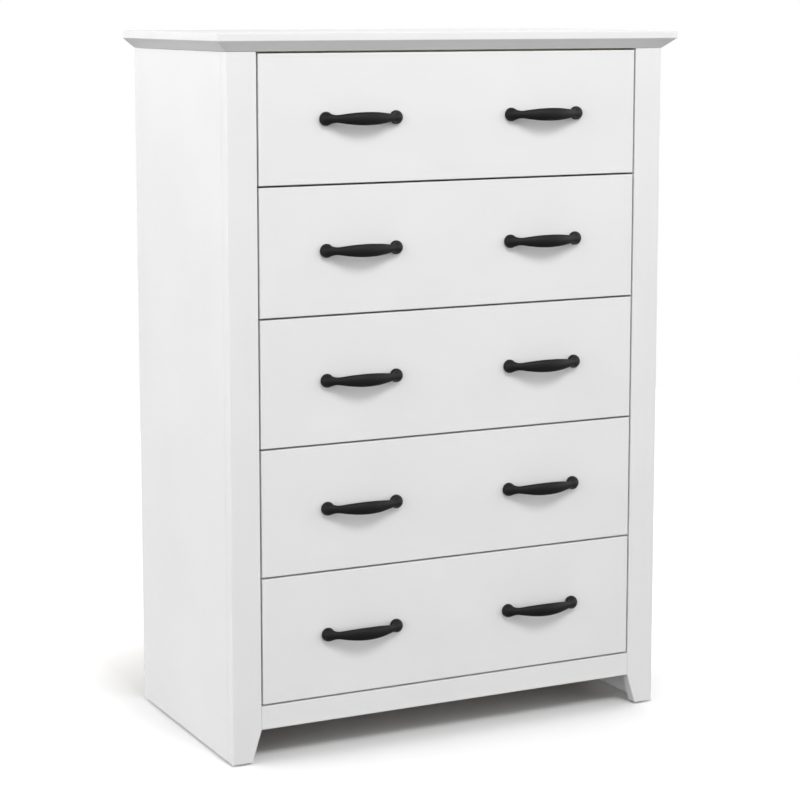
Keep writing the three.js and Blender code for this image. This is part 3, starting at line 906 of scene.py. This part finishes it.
# %% Drive them into the drawers
RIGHTWARD, BACKWARD = Vector((1, 0, 0)), Vector((0, 1, 0))
FOOT_APART = 118 * MM
SIDE_LIFTS = (30 * MM, 115 * MM)  # of the fasteners in a side, above its lower edge
CAM_SETBACK = 24 * MM
for number in DRAWERS:
    body = f"drawer_{number}"
    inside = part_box(f"{body}_front")[1].y
    seats = []
    for name in SIDES:
        centre = centre_of(f"{body}_handle_{name}")
        for direction in SIDES.values():
            seats.append((Vector((centre.x + direction * FOOT_APART / 2, inside, centre.z)), BACKWARD))
    drive_in(handle_screw, f"{body}_handle_screws", body, seats)
    cams, screws = [], []
    for name, side in SIDES.items():
        low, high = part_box(f"{body}_side_{name}")
        outer = low.x if side < 0 else high.x
        back_y = centre_of(f"{body}_back").y
        for lift in SIDE_LIFTS:
            cams.append((Vector((outer, low.y + CAM_SETBACK, low.z + lift)), RIGHTWARD * side))
            screws.append((Vector((outer, back_y, low.z + lift)), RIGHTWARD * side))
    drive_in(cam_lock, f"{body}_cam_locks", body, cams)
    drive_in(wood_screw, f"{body}_box_screws", body, screws)
print("each drawer:", len(seats), "handle screws,", len(cams), "cam locks,", len(screws), "box screws")

# %% [markdown]
# Three screws hold each runner to the cabinet's side. The back is nailed along both sides and along the
# bottom rear rail.

# %% Drive them into the cabinet
RUNNER_SCREW_DROP = 6.2 * MM  # from the runner's upper edge, clear of the tongue
RUNNER_SCREW_FRONT = 30 * MM
RUNNER_SCREW_BACK = 60 * MM  # clear of the stop at the back end
NAIL_FROM_END = 30 * MM
NAIL_FROM_EDGE = 4 * MM
NAILS_UP_EACH_EDGE = 6
RAIL_NAILS = range(-300, 301, 100)  # across, in mm

for name, side in SIDES.items():
    screws = []
    for number in DRAWERS:
        low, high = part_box(f"runner_{number}_{name}")
        outer = low.x if side < 0 else high.x
        face_x = outer - side * (high.x - low.x - STOP_REACH)
        for y in (low.y + RUNNER_SCREW_FRONT, (low.y + high.y) / 2, high.y - RUNNER_SCREW_BACK):
            screws.append((Vector((face_x, y, high.z - RUNNER_SCREW_DROP)), RIGHTWARD * -side))
    drive_in(wood_screw, f"runner_screws_{name}", "cabinet", screws)

back_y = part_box("back_panel_upper")[1].y
nails = []
for node in ("back_panel_lower", "back_panel_upper"):
    low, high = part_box(node)
    spacing = (high.z - low.z - 2 * NAIL_FROM_END) / (NAILS_UP_EACH_EDGE - 1)
    for step in range(NAILS_UP_EACH_EDGE):
        z = low.z + NAIL_FROM_END + spacing * step
        for x in (low.x + NAIL_FROM_EDGE, high.x - NAIL_FROM_EDGE):
            nails.append((Vector((x, back_y, z)), BACKWARD))
rail_z = centre_of("bottom_rear_rail").z
nails += [(Vector((x * MM, back_y, rail_z)), BACKWARD) for x in RAIL_NAILS]
drive_in(nail, "back_nails", "cabinet", nails)
for fastener in (handle_screw, wood_screw, cam_lock, nail):
    bpy.data.objects.remove(fastener)
print("runner screws on each side:", len(screws), "| nails in the back:", len(nails))

# %% [markdown]
# ## The studio
# The chest stands on a white floor that runs on into a white surround. In such a studio a real floor
# would throw so much light back up that the underside of the top's chamfer would vanish, and dark sheets
# laid out of view are the usual cure. Here the floor is two sheets: the camera sees the white one, and the
# light that bounces sees the grey one just below it. Neither is part of the chest.

# %% Helpers for the studio
def floor_sheet(name, width, z, tone):
    """One square matt sheet of the floor."""
    bpy.ops.object.select_all(action="DESELECT")
    bpy.ops.mesh.primitive_plane_add(size=width, location=(0, 0, z))
    bpy.ops.object.transform_apply(location=True, rotation=True, scale=True)
    sheet = bpy.context.object
    sheet.name = name
    material, _, shader = new_material(name + "_matt_paper")
    shader.inputs["Base Color"].default_value = linear(tone)
    shader.inputs["Roughness"].default_value = 1.0
    shader.inputs["Specular IOR Level"].default_value = 0.0
    sheet.data.materials.append(material)
    return sheet


def hide_from_light(thing):
    """Leave a thing to the camera alone: no light bounces from it and it casts no shadow."""
    thing.visible_diffuse = False
    thing.visible_glossy = False
    thing.visible_transmission = False
    thing.visible_shadow = False


# %% [markdown]
# The white sheet carries painted light: it glows, and glows more the further it is from the chest, which
# washes out the chest's shadow away from it. That keeps it as white as the surround all the way out, while
# the shadow close to the chest stays.

# %% Lay the floor
SEEN_WIDTH = 5.0
BOUNCING_WIDTH = 80.0
GLOW_START, GLOW_FULL = 0.40, 0.65  # metres from the chest's middle
GLOW_STRENGTH = 0.4

seen_floor = floor_sheet("floor_seen", SEEN_WIDTH, 0, "#ffffff")
hide_from_light(seen_floor)
paper = seen_floor.active_material.node_tree
place = add_node(paper, "TexCoord").outputs["Object"]
reach = add_node(paper, "VectorMath", {0: place}, operation="LENGTH").outputs["Value"]
# painted light: the sheet's own glow rises from nothing at GLOW_START to GLOW_STRENGTH at GLOW_FULL, lifting
# the chest's shadow there
painted_floor_glow = add_node(paper, "MapRange", {"Value": reach, "From Min": GLOW_START, "From Max": GLOW_FULL,
                                    "To Max": GLOW_STRENGTH})
paper_shader = paper.nodes["Principled BSDF"]
paper_shader.inputs["Emission Color"].default_value = linear("#ffffff")
paper.links.new(painted_floor_glow.outputs["Result"], paper_shader.inputs["Emission Strength"])
bouncing_floor = floor_sheet("floor_bouncing", BOUNCING_WIDTH, -1 * MM, "#8a8a8a")
bouncing_floor.visible_camera = False
print("two sheets of floor:", SEEN_WIDTH, "m seen and", BOUNCING_WIDTH, "m bouncing")

# %% [markdown]
# The surround is a white dome. Its colour is a plain glow, so it is evenly white all over, and only the
# camera sees it, so it adds no light to the chest and no reflection.

# %% Hang the surround
bpy.ops.object.select_all(action="DESELECT")
bpy.ops.mesh.primitive_uv_sphere_add(segments=48, ring_count=24, radius=BOUNCING_WIDTH / 2)
dome = bpy.context.object
dome.name = "surround_seen"
dome_material, _, dome_shader = new_material("surround_white_glow")
dome_shader.inputs["Base Color"].default_value = linear("#000000")
dome_shader.inputs["Specular IOR Level"].default_value = 0.0
dome_shader.inputs["Emission Color"].default_value = linear("#ffffff")
dome_shader.inputs["Emission Strength"].default_value = 1.0
dome.data.materials.append(dome_material)
hide_from_light(dome)
print("surround:", round(dome.dimensions.x), "m wide")

# %% [markdown]
# What lights the chest is a pair of broad, soft walls of light, one on each side, the left one a little
# stronger. The world glows most along the X axis and fades towards straight up. An image of a studio
# could do the same, but two sums on the direction of the light are enough: the size of its X part times
# the walls' mean strength, and its X part times half their difference.

# %% Raise the walls of light
LEFT_GLOW = 4.15
RIGHT_GLOW = 3.85
world = bpy.data.worlds.new("two_walls_of_light")
bpy.context.scene.world = world
world.use_nodes = True
sky = world.node_tree
direction = add_node(sky, "TexCoord").outputs["Generated"]
parts = add_node(sky, "SeparateXYZ", {"Vector": direction}).outputs
sideways = add_node(sky, "Math", {0: parts["X"]}, operation="ABSOLUTE")
even = add_node(sky, "Math", {0: sideways.outputs[0], 1: (LEFT_GLOW + RIGHT_GLOW) / 2}, operation="MULTIPLY")
walls = add_node(sky, "Math", {0: parts["X"], 1: (RIGHT_GLOW - LEFT_GLOW) / 2, 2: even.outputs[0]},
                 operation="MULTIPLY_ADD")
height = add_node(sky, "Math", {0: parts["Z"]}, operation="ABSOLUTE")
below_top = add_node(sky, "Math", {0: 1.0, 1: height.outputs[0]}, operation="SUBTRACT")
glow = add_node(sky, "Math", {0: walls.outputs[0], 1: below_top.outputs[0]}, operation="MULTIPLY")
sky.links.new(glow.outputs[0], sky.nodes["Background"].inputs["Strength"])
sky.nodes["Background"].inputs["Color"].default_value = linear("#ffffff")
print("walls of light: left", LEFT_GLOW, "right", RIGHT_GLOW)

# %% [markdown]
# One soft box in front, above head height, is the key. It brings the front up and draws the shadow under
# each handle: the smaller the box, the crisper the shadow. A second one lifts the left side's top. The
# plain Standard view keeps white paint white.

# %% Place the soft boxes
def soft_box(name, place, aim, size, power):
    """A square area light at a place, aimed at a point."""
    lamp = bpy.data.objects.new(name, bpy.data.lights.new(name, "AREA"))
    bpy.context.scene.collection.objects.link(lamp)
    lamp.location = place
    lamp.rotation_euler = (Vector(place) - Vector(aim)).to_track_quat("Z", "Y").to_euler()
    lamp.data.size = size
    lamp.data.energy = power
    lamp.visible_camera = False


soft_box("key_soft_box", place=(0, -2.97, 3.28), aim=(0, 0, 0.6), size=1.1, power=66)
soft_box("left_soft_box", place=(-1.80, -0.06, 2.16), aim=(0, 0, 0.9), size=1.2, power=7)
bpy.context.scene.view_settings.view_transform = "Standard"
print("lights:", [lamp.name for lamp in bpy.data.lights])
